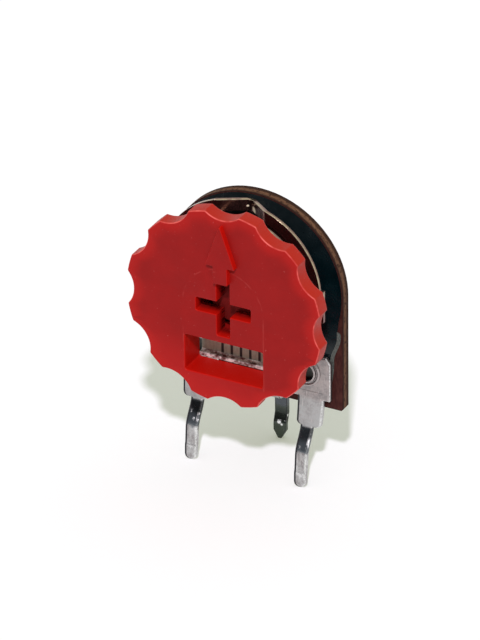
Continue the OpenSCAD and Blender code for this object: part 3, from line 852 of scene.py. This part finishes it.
class Finish(Nodes):
    """A material under construction: patterns, edges and places on a piece's surface."""

    def __init__(self, name):
        self.material = bpy.data.materials.new(name)
        self.material.use_nodes = True
        super().__init__(self.material.node_tree)
        self.surface = self.tree.nodes["Principled BSDF"]
        self.place = self.node("ShaderNodeTexCoord").outputs["Object"]

    def noise(self, size, detail=3, rough=0.5, stretch=(1, 1, 1)):
        """Cloudy pattern of blots about size millimetres wide, squeezed along each axis by stretch."""
        place = self.feed(self.node("ShaderNodeMapping"), Vector=self.place, Scale=stretch).outputs[0]
        node = self.node("ShaderNodeTexNoise")
        self.feed(node, Vector=place, Scale=1 / (size * MM), Detail=detail, Roughness=rough)
        return node.outputs["Fac"]

    def tone(self):
        """The tone that a built piece carries in its attribute edge."""
        return self.node("ShaderNodeAttribute", attribute_name="edge").outputs["Fac"]

    def split(self):
        """The three object coordinates."""
        return self.feed(self.node("ShaderNodeSeparateXYZ"), Vector=self.place).outputs

    def bevel(self, radius):
        """Normal with its sharp edges rounded to a radius in millimetres."""
        node = self.node("ShaderNodeBevel", samples=BEVEL_SAMPLES)
        return self.feed(node, Radius=radius * MM).outputs[0]

    def bump(self, relief, depth, soft=None):
        """Normal raised by a pattern, depth millimetres from dark to light, over edges rounded to soft."""
        node = self.feed(self.node("ShaderNodeBump"), Height=relief, Distance=depth * MM, Strength=1.0)
        if soft:
            self.feed(node, Normal=self.bevel(soft))
        return node.outputs[0]

    def rims(self, reach):
        """1 at sharp edges, where a rounded normal leaves the true one, and 0 from about reach off them."""
        flat = self.node("ShaderNodeNewGeometry").outputs["True Normal"]
        agree = self.node("ShaderNodeVectorMath", operation="DOT_PRODUCT")
        self.feed(agree, i0=self.bevel(reach), i1=flat)
        return self.ramp(agree.outputs["Value"], 0.75, 0.99, 1, 0)

    def sideways(self):
        """1 where a surface faces sideways, up or down, and 0 where it faces the front or the back."""
        node = self.node("ShaderNodeSeparateXYZ")
        self.feed(node, i0=self.node("ShaderNodeTexCoord").outputs["Normal"])
        return self.ramp(self.math("ABSOLUTE", node.outputs[1]), 0.35, 0.6, 1, 0)

    def spot(self, x, rise, radius):
        """1 at a place right of the knob's axis and above it, and 0 from a radius on, in millimetres."""
        flat = self.feed(self.node("ShaderNodeMapping"), Vector=self.place, Scale=(1, 0, 1)).outputs[0]
        apart = self.node("ShaderNodeVectorMath", operation="DISTANCE")
        self.feed(apart, i0=flat, i1=(x * MM, 0, AXIS.z + rise * MM))
        return self.ramp(apart.outputs["Value"], 0.4 * radius * MM, radius * MM, 1, 0)

    def above(self, drop, blend=0.1, wobble=0.0):
        """1 above a line drop millimetres below the knob's axis, and 0 below it. wobble moves the line."""
        z = AXIS.z - drop * MM
        return self.ramp(self.sum(self.split()[2], wobble), z - blend * MM, z + blend * MM)

    def below(self, drop, blend=0.1):
        """0 above a line drop millimetres below the knob's axis, and 1 below it."""
        return self.rest(self.above(drop, blend))

    def done(self, **inputs):
        """The material, once its surface has its inputs."""
        self.feed(self.surface, **inputs)
        return self.material


def red_plastic(knob):
    """Moulded red plastic: a dull, fine-grained face, brighter edges and saturated inner walls.

    The face has a faint ring that the mould leaves, painted a little lighter as a highlight, and pale
    flecks. Painted light brightens the face beside the rim and towards the lower left, a painted highlight
    line runs round the face's edge, and painted shade darkens the slot's walls with depth.
    """
    f = Finish("red_plastic")
    x, y, z = f.split()
    tone = f.tone()
    rim = f.ramp(tone, 0.65, 0.95)
    line = f.both(f.ramp(tone, 0.32, 0.5), f.rest(rim))
    wall = f.math("MULTIPLY", tone, -1.0, clamp=True)
    blots = f.noise(2.6, 5, 0.6)
    grain = f.noise(0.1, 4, 0.6)
    flecks = f.ramp(f.noise(0.22, 2), 0.71, 0.76)

    over = f.most(f.math("SUBTRACT", z, AXIS.z), 0.0)
    reach = f.math("POWER", f.sum(f.both(x, x), f.both(over, over)), 0.5)
    off = f.math("ABSOLUTE", f.math("SUBTRACT", reach, knob.seam_radius * MM))
    seam = f.both(f.ramp(off, 0.02 * MM, 0.09 * MM, 1, 0), f.ramp(f.noise(1.3, 2), 0.45, 0.6))

    face = f.mix(f.ramp(blots, 0.3, 0.7), knob.face, shade(knob.face, 0.88))
    # Painted light: the face is painted brighter towards the lower left
    lower_left_light = f.ramp(f.sum(z, f.both(x, 0.35)), AXIS.z - 3.5 * MM, AXIS.z - 8.5 * MM)
    face = f.mix(lower_left_light, face, shade(knob.face, 1.3))
    # Painted glow of light on the face beside the rim
    face = f.mix(f.both(f.ramp(tone, 0.0, 0.3), 0.6), face, knob.glow)
    # The mould's seam: a real ridge in the bump, also painted a little lighter as a highlight on it
    face = f.mix(f.both(seam, 0.13), face, knob.line)
    # Painted highlight: a patchy bright line round the face's edge
    rubbed = f.both(line, f.ramp(f.noise(0.9, 3), 0.35, 0.65, 0.25, 0.95))
    outside = f.mix(rubbed, f.mix(rim, face, knob.rim), knob.line)
    # Painted shade: the slot's walls darken with depth
    depth = f.math("SUBTRACT", y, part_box("knob")[0].y + knob.arrow_height * MM)
    painted_depth_shade = f.both(f.above(knob.split, 0.05), f.ramp(depth, 0.4 * MM, 1.15 * MM))
    paint = f.mix(wall, outside, f.mix(painted_depth_shade, knob.wall, shade(knob.wall, 0.1)))
    return f.done(
        Base_Color=f.mix(f.both(flecks, 0.25), paint, knob.fleck),
        Roughness=f.sum(f.ramp(grain, 0.3, 0.7, 0.36, 0.5), f.both(line, -0.1)),
        Normal=f.bump(f.sum(grain, f.both(seam, 1.5)), 0.006),
        Specular_IOR_Level=0.12,
    )


def tinned_sheet(metal, name, darker, glint_drop, edge_shade, glints=()):
    """Tin plate: dull, mottled and scratched on the plates, glossier and lumpier down the pins.

    darker is how far the pins take the painted shade of strap, glint_drop the place of their painted
    glints on tin beads, and edge_shade how dark the painted shade on sharp edges is. glints are further
    painted glints, with painted shade above them. The bends get a painted dark reflection, and edges with a
    negative tone a painted highlight.
    """
    f = Finish(name)
    tone = f.tone()
    blots = f.noise(1.1, 6, 0.65)
    specks = f.noise(0.16, 4, 0.7)
    beads = f.noise(0.42, 3)
    # Tin beads: raised in the bump, and painted with glints in a band down the pins
    beads_and_glints = f.ramp(beads, 0.6, 0.68)
    scratches = f.noise(0.12, 2, 0.5, (1.0, 1.0, 0.08))
    streaks = f.noise(0.5, 3, 0.6, (1.3, 1.3, 0.6))
    wobble = f.both(f.math("SUBTRACT", blots, 0.5), 0.9 * MM)
    mottle = f.sum(f.both(blots, 0.6), f.both(specks, 0.4))
    plate = f.above(NECK_LOW_DROP, 0.25)
    pin = f.rest(plate)

    clean = f.both(f.below(NECK_TOP_DROP, 0.3), f.ramp(mottle, 0.36, 0.62, 0.3, 0.95))
    body = f.mix(f.ramp(mottle, 0.38, 0.6), metal.stain, metal.tin)
    body = f.mix(f.ramp(scratches, 0.62, 0.7), body, shade(metal.tin, 1.5))
    body = f.mix(clean, body, metal.bright)
    body = f.mix(f.both(pin, f.ramp(streaks, 0.5, 0.66), 0.75), body, metal.stain)
    body = f.mix(f.both(pin, f.ramp(streaks, 0.46, 0.36), 0.6), body, shade(metal.bright, 1.6))
    # Painted shade on the pins, as far as darker says
    body = f.mix(f.both(pin, darker), body, metal.strap)

    # Painted glints on beads in a band and on highlighted edges, and at the glints, with painted shade above
    along = f.both(f.above(glint_drop + 0.3, 0.1), f.below(glint_drop - 0.45, 0.15))
    on_edge = f.both(f.ramp(tone, 0.0, -0.35), f.ramp(beads, 0.44, 0.52))
    rubbed = f.both(along, f.most(beads_and_glints, on_edge))
    for x, rise, radius in glints:
        rubbed = f.most(rubbed, f.spot(x, rise, radius))
        shadow = f.both(f.above(-rise - 0.15, 0.1), f.below(-rise - 1.0, 0.9))
        body = f.mix(f.both(shadow, 0.7), body, shade(metal.strap, 0.15))
    body = f.mix(rubbed, body, metal.drop)

    # Painted dark reflection on the bends above the pins' tips
    bend = f.both(f.below(NECK_LOW_DROP, 0.12), f.above(BEND_LOW_DROP, 0.15, wobble))
    flux = f.mix(f.above(BEND_LOW_DROP - 0.95, 0.3, wobble), metal.flux, shade(metal.flux, 0.3))
    body = f.mix(f.both(bend, f.rest(rubbed)), body, flux)
    # Painted shade along sharp edges and cut sides, and a painted highlight along edges of negative tone
    cut = f.most(f.both(f.rims(0.13 + 0.1 * edge_shade), edge_shade), f.ramp(tone, 0.15, 0.6))
    edge = f.both(f.ramp(tone, -0.1, -0.6), f.ramp(specks, 0.35, 0.6, 0.2, 0.9), f.rest(f.both(bend, 0.8)))
    relief = f.sum(blots, f.both(specks, 0.25), f.both(beads_and_glints, pin, 0.35))
    return f.done(
        Base_Color=f.mix(edge, f.mix(cut, body, metal.outline), metal.rubbed),
        Metallic=f.math("SUBTRACT", 0.95, f.both(bend, 0.45), clamp=True),
        Roughness=f.sum(f.ramp(specks, 0.3, 0.7, 0.16, 0.28), f.both(plate, 0.18)),
        Normal=f.bump(relief, 0.035, 0.14),
    )


def tinned_eyelet(metal):
    """Rolled eyelet: bright tin on its rings, with painted shade in its groove and its bore."""
    f = Finish("tinned_eyelet")
    tone = f.tone()
    blots = f.noise(0.5, 4, 0.6)
    return f.done(
        Base_Color=f.mix(tone, f.mix(blots, metal.stain, shade(metal.tin, 1.35)), metal.outline),
        Metallic=f.math("SUBTRACT", 0.9, f.both(tone, 0.9), clamp=True),
        Roughness=f.sum(f.ramp(blots, 0.3, 0.7, 0.2, 0.34), f.both(tone, 0.3)),
        Normal=f.bump(blots, 0.02),
    )


def rivet_metal(metal):
    """Dark brown plated brass. Its head is painted red for the red light that the knob round it throws on it.
    """
    f = Finish("rivet_metal")
    blots = f.noise(0.7, 4)
    brown = f.mix(blots, shade(metal.rivet, 0.6), shade(metal.rivet, 1.6))
    body_end, head_start = BOARD_FRONT - 2.0 * MM, BOARD_FRONT - 2.4 * MM
    head = f.ramp(f.split()[1], head_start, body_end, 1, 0)
    return f.done(
        Base_Color=f.mix(head, brown, metal.head),
        Metallic=0.3,
        Roughness=f.ramp(blots, 0.3, 0.7, 0.4, 0.6),
        Specular_IOR_Level=0.1,
        Normal=f.bump(blots, 0.02, 0.1),
    )


def spring_sheet(metal):
    """Bronze spring sheet: its cut edges are bright in patches, partly their own metal and partly a painted
    highlight, and its contact has painted glints.

    The tab is paler, with a row of plain black marks and a lip painted with patches of bright and dark
    reflection.
    """
    f = Finish("spring_sheet")
    x, y, _ = f.split()
    aside = f.math("ABSOLUTE", x)
    blots = f.noise(1.2, 5, 0.6)
    fine = f.noise(0.2, 4, 0.6, (1, 1, 0.3))
    low = f.below(TAB_TOP_DROP, 0.1)
    lip = f.below(TAB_LOW_DROP - metal.lip_height, 0.04)

    half, soft = metal.mark_width / 2, 0.02
    row = 2.4 * metal.mark_pitch
    apart = f.math("PINGPONG", x, metal.mark_pitch / 2 * MM)
    marks = f.ramp(apart, (half - soft) * MM, (half + soft) * MM, 1, 0)
    marks = f.both(marks, f.ramp(aside, row * MM, (row + soft) * MM, 1, 0), low, f.rest(lip))

    # The V's flanks run back towards the carbon, so an edge's depth is measured from the folded front
    fold = f.math("SUBTRACT", metal.contact_half * MM, aside, clamp=True)
    depth = f.math("SUBTRACT", y, BOARD_FRONT - metal.wiper_front * MM)
    depth = f.math("SUBTRACT", depth, f.both(fold, metal.contact_slope))
    # The cut edges' gold: partly their own bright metal, partly a painted highlight near their front
    gold_rise = 0.9
    front = f.both(f.above(-gold_rise, 0.2), f.ramp(depth, 0.1 * MM, 0.22 * MM, 1, 0.25))
    gold = f.both(f.sideways(), front, f.ramp(f.noise(0.9, 4, 0.7), 0.38, 0.56, 0.45, 1))
    # Painted glints on the contact's fold
    glint = f.most(*(f.spot(*place) for place in CONTACT_GLINTS))

    bronze = f.mix(blots, shade(metal.bronze, 0.7), shade(metal.bronze, 1.4))
    tab = f.mix(f.ramp(fine, 0.3, 0.7), shade(metal.tab, 0.75), metal.tab)
    body = f.mix(low, f.mix(gold, bronze, metal.gold), tab)
    body = f.mix(glint, body, metal.glint)
    # Painted reflection on the lip, in bright and dark patches
    body = f.mix(lip, body, f.mix(f.ramp(f.noise(0.6, 4, 0.6), 0.36, 0.6), metal.bronze, metal.lip))
    dull = f.sum(f.both(low, 0.6), f.both(marks, 0.35), f.both(glint, 0.95))
    return f.done(
        Base_Color=f.mix(marks, body, metal.ink),
        Metallic=f.math("SUBTRACT", 0.95, dull, clamp=True),
        Roughness=f.sum(f.ramp(fine, 0.3, 0.7, 0.16, 0.26), f.both(low, 0.3)),
        Normal=f.bump(blots, 0.03, 0.06),
    )


def phenolic_board(board):
    """Paper laminate: a dark red-brown face with fibre streaks, and a cut edge of thin layers.

    The cut edge is copper-brown, lightest at the board's middle, and painted shade darkens the sharp edges
    round it.
    """
    f = Finish("phenolic_board")
    fibre = f.noise(0.3, 5, 0.7, (1, 1, 0.35))
    layers = f.noise(0.5, 4, 0.7, (0.5, 8, 0.5))
    inside = f.sideways()
    core = BOARD_FRONT + 0.4 * MM
    off = f.math("ABSOLUTE", f.math("SUBTRACT", f.split()[1], core))
    streak = f.sum(f.both(layers, 0.75), f.both(f.ramp(off, 0.1 * MM, 0.35 * MM, 1, 0), 0.25))
    face = f.mix(f.ramp(fibre, 0.35, 0.65), board.face, board.fibre)
    cut = f.mix(f.ramp(streak, 0.4, 0.75), board.cut, board.layer)
    cut = f.mix(f.ramp(f.noise(0.28, 4, 0.7), 0.5, 0.62), cut, board.cut)
    # Painted shade darkens the board's sharp edges
    return f.done(
        Base_Color=f.mix(f.rims(0.12), f.mix(inside, face, cut), board.arris),
        Roughness=f.sum(f.ramp(fibre, 0.3, 0.7, 0.4, 0.55), f.both(inside, 0.3)),
        Specular_IOR_Level=0.06,
        Normal=f.bump(fibre, 0.02, 0.06),
    )


def carbon_track(board):
    """Glossy printed carbon, near black with a cold tint, and greyer towards the top."""
    f = Finish("carbon_track")
    blots = f.noise(1.2, 4)
    ink = f.mix(blots, shade(board.carbon, 0.5), shade(board.carbon, 2))
    grey_rise, grey_blend = 4.5, 2.5
    grey = [c + 0.016 for c in board.carbon]
    return f.done(
        Base_Color=f.mix(f.both(f.above(-grey_rise, grey_blend), blots), ink, grey),
        Roughness=f.ramp(blots, 0.3, 0.7, 0.14, 0.3),
        Specular_IOR_Level=0.3,
        Normal=f.bump(f.noise(0.08, 3), 0.003),
    )


def silver_print(board):
    """Satin silver print, with the grain of its screen."""
    f = Finish("silver_print")
    grain = f.noise(0.14, 4, 0.7)
    return f.done(
        Base_Color=f.mix(f.ramp(grain, 0.35, 0.65), shade(board.silver, 0.4), board.silver),
        Metallic=0.3,
        Roughness=f.ramp(grain, 0.3, 0.7, 0.45, 0.7),
        Normal=f.bump(grain, 0.01),
    )


def dress(node, material):
    """Gives a CAD node its finish."""
    part = frame["nodes"][node]
    part.data.materials.clear()
    part.data.materials.append(material)


# ---- Stage ----


def seen_white(nodes):
    """1 for rays that reach the eye straight, by a mirror or through glass, and 0 for the others."""
    rays = nodes.node("ShaderNodeLightPath").outputs
    return nodes.most(rays["Is Camera Ray"], rays["Is Glossy Ray"], rays["Is Transmission Ray"])


def rectangle(corner, along, up):
    """Flat rectangle: its corner, plus shares from 0 to 1 of the sides along and up."""
    share = np.arange(2.0)
    return grid(np.array(corner) + share[:, None, None] * along + share[:, None] * up)


def floor(stage):
    """Pale floor, white to the eye where no shadow falls.

    It takes the light as a dull surface, and gives off just what that lacks of white, for the eye alone.
    """
    reach, full = 3.0, 1.02
    f = Finish("floor")
    pale = f.mix(f.noise(30, 2), stage.floor, shade(stage.floor, 0.985))
    f.done(Base_Color=pale, Roughness=0.9, Specular_IOR_Level=0.0)
    glow = f.node("ShaderNodeEmission")
    f.feed(glow, Color=(*(full - c for c in stage.floor), 1), Strength=seen_white(f))
    both = f.feed(f.node("ShaderNodeAddShader"), i0=f.surface.outputs[0], i1=glow.outputs[0])
    f.feed(f.tree.nodes["Material Output"], Surface=both.outputs[0])
    square = rectangle((-reach, -reach, 0), (2 * reach, 0, 0), (0, 2 * reach, 0))
    part = build("floor", f.material, [square])


def lights(stage):
    """Even pale sky that the eye sees white, a sun-like lamp, and a dark panel for the metal to mirror."""
    sky = bpy.data.worlds.new("sky")
    sky.use_nodes = True
    nodes = Nodes(sky.node_tree)
    seen = nodes.mix(seen_white(nodes), shade(stage.sky_tint, stage.sky), (1, 1, 1))
    nodes.feed(sky.node_tree.nodes["Background"], Color=seen)
    bpy.context.scene.world = sky

    away = Vector(stage.sun_from).normalized()
    lamp = bpy.data.lights.new("sun", "SUN")
    lamp.angle = stage.sun_spread
    lamp.energy = stage.sun * math.pi / away.z
    lamp.color = stage.sun_tint
    sun = bpy.data.objects.new("sun", lamp)
    sun.rotation_euler = away.to_track_quat("Z", "Y").to_euler()
    bpy.context.collection.objects.link(sun)

    near, low, high = 0.35, 0.02, 0.5
    f = Finish("flag")
    dark = f.mix(f.noise(60, 3), stage.flag, shade(stage.flag, 1.5))
    f.done(Base_Color=dark, Roughness=0.9, Specular_IOR_Level=0.0)
    upright = rectangle((-near, -near, low), (2 * near, 0, 0), (0, 0, high - low))
    panel = build("flag", f.material, [upright])
    panel.visible_camera = panel.visible_diffuse = panel.visible_shadow = False


def camera(stage):
    """Camera at the stage's azimuth and elevation, rolled, with the knob's middle off the view's middle."""
    a, e, roll = stage.azimuth, stage.elevation, stage.roll
    across = Vector((math.cos(a), math.sin(a), 0))
    ahead = Vector((-math.sin(a) * math.cos(e), math.cos(a) * math.cos(e), -math.sin(e)))
    upright = across.cross(ahead)
    right = across * math.cos(roll) + upright * math.sin(roll)
    up = upright * math.cos(roll) - across * math.sin(roll)
    eye = bpy.data.cameras.new("camera")
    eye.lens = stage.lens
    eye.sensor_width = 36
    eye.clip_start = 0.01
    eye.clip_end = 20
    spot = AXIS - right * stage.right - up * stage.up - ahead * stage.distance
    part = bpy.data.objects.new("camera", eye)
    part.matrix_world = Matrix.Translation(spot) @ Matrix((right, up, -ahead)).transposed().to_4x4()
    bpy.context.collection.objects.link(part)
    bpy.context.scene.camera = part


# ---- Operators ----


class TRIMMER_OT_board(bpy.types.Operator):
    """Finish the board and its carbon, and build the silver prints"""

    bl_idname = "trimmer.board"
    bl_label = "Board"

    def execute(self, context):
        board = context.scene.trimmer_board
        dress("base_board", phenolic_board(board))
        dress("resistive_track", carbon_track(board))
        silver = silver_print(board)
        for side in ("left", "right"):
            node = f"end_pad_{side}"
            part = build(f"silver_{side}", silver, pad_shapes(Sizes(context.scene.trimmer_pad), node))
            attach(part, "base")
            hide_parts(node)
        return {"FINISHED"}


class TRIMMER_OT_terminals(bpy.types.Operator):
    """Build the two outer terminals, and finish the middle one"""

    bl_idname = "trimmer.terminals"
    bl_label = "Terminals"

    def execute(self, context):
        metal = Sizes(context.scene.trimmer_metal)
        terminal = Sizes(context.scene.trimmer_terminal)
        tin = tinned_sheet(metal, "tinned_sheet", darker=0.0, glint_drop=13.4, edge_shade=0.0)
        for side in ("left", "right"):
            node = f"terminal_{side}"
            part = build(f"{node}_sheet", tin, *terminal_shapes(terminal, node))
            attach(part, "base")
            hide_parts(node)
        dark = tinned_sheet(metal, "dark_tin", darker=0.95, glint_drop=15.3, edge_shade=1.0, glints=PIN_GLINTS)
        dress("wiper_terminal", dark)
        return {"FINISHED"}


class TRIMMER_OT_eyelets(bpy.types.Operator):
    """Build the two rolled eyelets"""

    bl_idname = "trimmer.eyelets"
    bl_label = "Eyelets"

    def execute(self, context):
        eyelet = Sizes(context.scene.trimmer_eyelet)
        tin = tinned_eyelet(context.scene.trimmer_metal)
        for side in ("left", "right"):
            part = build(f"eyelet_ring_{side}", tin, *eyelet_shapes(eyelet, f"eyelet_{side}"))
            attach(part, "base")
            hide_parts(f"eyelet_{side}")
        return {"FINISHED"}


class TRIMMER_OT_metalwork(bpy.types.Operator):
    """Finish the rivet and the wiper plate"""

    bl_idname = "trimmer.metalwork"
    bl_label = "Metalwork"

    def execute(self, context):
        metal = Sizes(context.scene.trimmer_metal)
        dress("pivot_rivet", rivet_metal(metal))
        dress("wiper_plate", spring_sheet(metal))
        return {"FINISHED"}


class TRIMMER_OT_knob(bpy.types.Operator):
    """Build the knob with its cross slot, window and arrow"""

    bl_idname = "trimmer.knob"
    bl_label = "Knob"

    def execute(self, context):
        knob = Sizes(context.scene.trimmer_knob)
        plastic = red_plastic(knob)
        for name, shapes in (("knob_body", knob_shapes(knob)), ("knob_arrow", arrow_shapes(knob))):
            part = build(name, plastic, *shapes)
            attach(part, "rotor")
            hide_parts("knob")
        return {"FINISHED"}


class TRIMMER_OT_stage(bpy.types.Operator):
    """Set the floor, the lights and the camera"""

    bl_idname = "trimmer.stage"
    bl_label = "Stage"

    def execute(self, context):
        stage = context.scene.trimmer_stage
        context.scene.view_settings.view_transform = "Standard"
        floor(stage)
        lights(stage)
        camera(stage)
        return {"FINISHED"}


class TRIMMER_PT_panel(bpy.types.Panel):
    """Sidebar panel that lists the settings and the steps"""

    bl_label = "Trimmer"
    bl_idname = "TRIMMER_PT_panel"
    bl_space_type = "VIEW_3D"
    bl_region_type = "UI"
    bl_category = "Trimmer"

    def draw(self, context):
        for group, cls in SETTINGS.items():
            box = self.layout.box()
            for name in cls.__annotations__:
                box.prop(getattr(context.scene, group), name)
        for operator in OPERATORS:
            self.layout.operator(operator.bl_idname)


SETTINGS = {
    "trimmer_board": BoardSettings,
    "trimmer_pad": PadSettings,
    "trimmer_terminal": TerminalSettings,
    "trimmer_eyelet": EyeletSettings,
    "trimmer_metal": MetalSettings,
    "trimmer_knob": KnobSettings,
    "trimmer_stage": StageSettings,
}
OPERATORS = (
    TRIMMER_OT_board,
    TRIMMER_OT_terminals,
    TRIMMER_OT_eyelets,
    TRIMMER_OT_metalwork,
    TRIMMER_OT_knob,
    TRIMMER_OT_stage,
)
CLASSES = (*SETTINGS.values(), *OPERATORS, TRIMMER_PT_panel)


def register():
    """Adds the classes and the scene's settings."""
    for cls in CLASSES:
        bpy.utils.register_class(cls)
    for group, cls in SETTINGS.items():
        setattr(bpy.types.Scene, group, bpy.props.PointerProperty(type=cls))


def unregister():
    """Takes them away again."""
    for group in reversed(SETTINGS):
        delattr(bpy.types.Scene, group)
    for cls in reversed(CLASSES):
        bpy.utils.unregister_class(cls)


def main():
    """Builds the whole scene."""
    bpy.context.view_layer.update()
    register()
    bpy.ops.trimmer.board()
    bpy.ops.trimmer.terminals()
    bpy.ops.trimmer.eyelets()
    bpy.ops.trimmer.metalwork()
    bpy.ops.trimmer.knob()
    bpy.ops.trimmer.stage()


if __name__ == "__main__":
    main()
